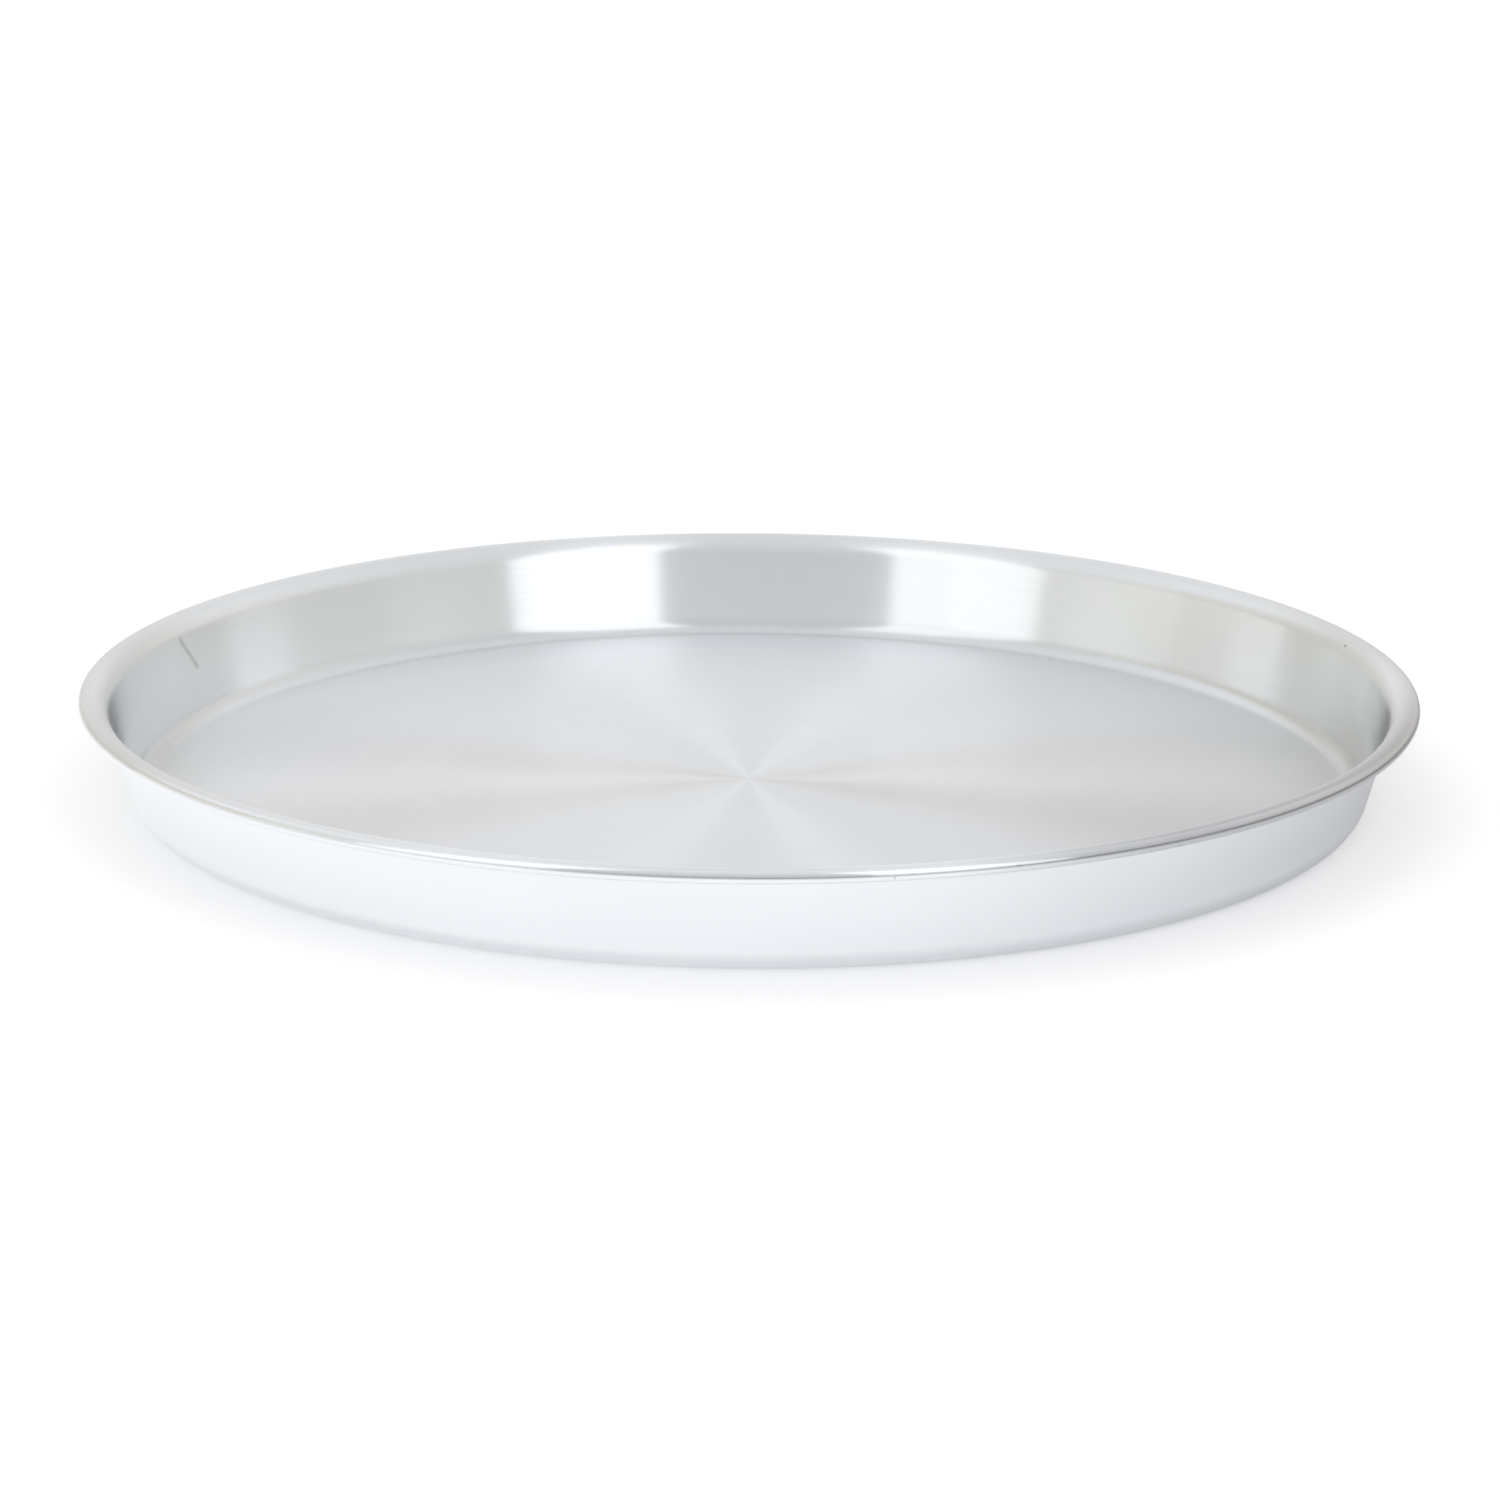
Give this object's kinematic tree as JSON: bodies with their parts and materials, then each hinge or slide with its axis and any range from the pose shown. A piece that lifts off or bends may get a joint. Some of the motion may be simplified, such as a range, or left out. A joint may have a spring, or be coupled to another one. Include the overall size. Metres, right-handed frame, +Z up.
{
  "type": "round baking tray",
  "caption": "Round aluminium baking tray with a flat circularly brushed floor, a low flared wall and a wide rounded lip with a curled edge.",
  "frame": {"origin": "centre of the flat underside, which the tray stands on", "axes": "+Z up along the tray's axis, the same all round"},
  "size_m": [0.38, 0.38, 0.031],
  "materials": {
    "satin_aluminium": "satin, brushed in circles on floor and wall, brighter on the lip and its curled edge"
  },
  "bodies": {
    "root": {"tray_body": "satin_aluminium"}
  },
  "joints": []
}
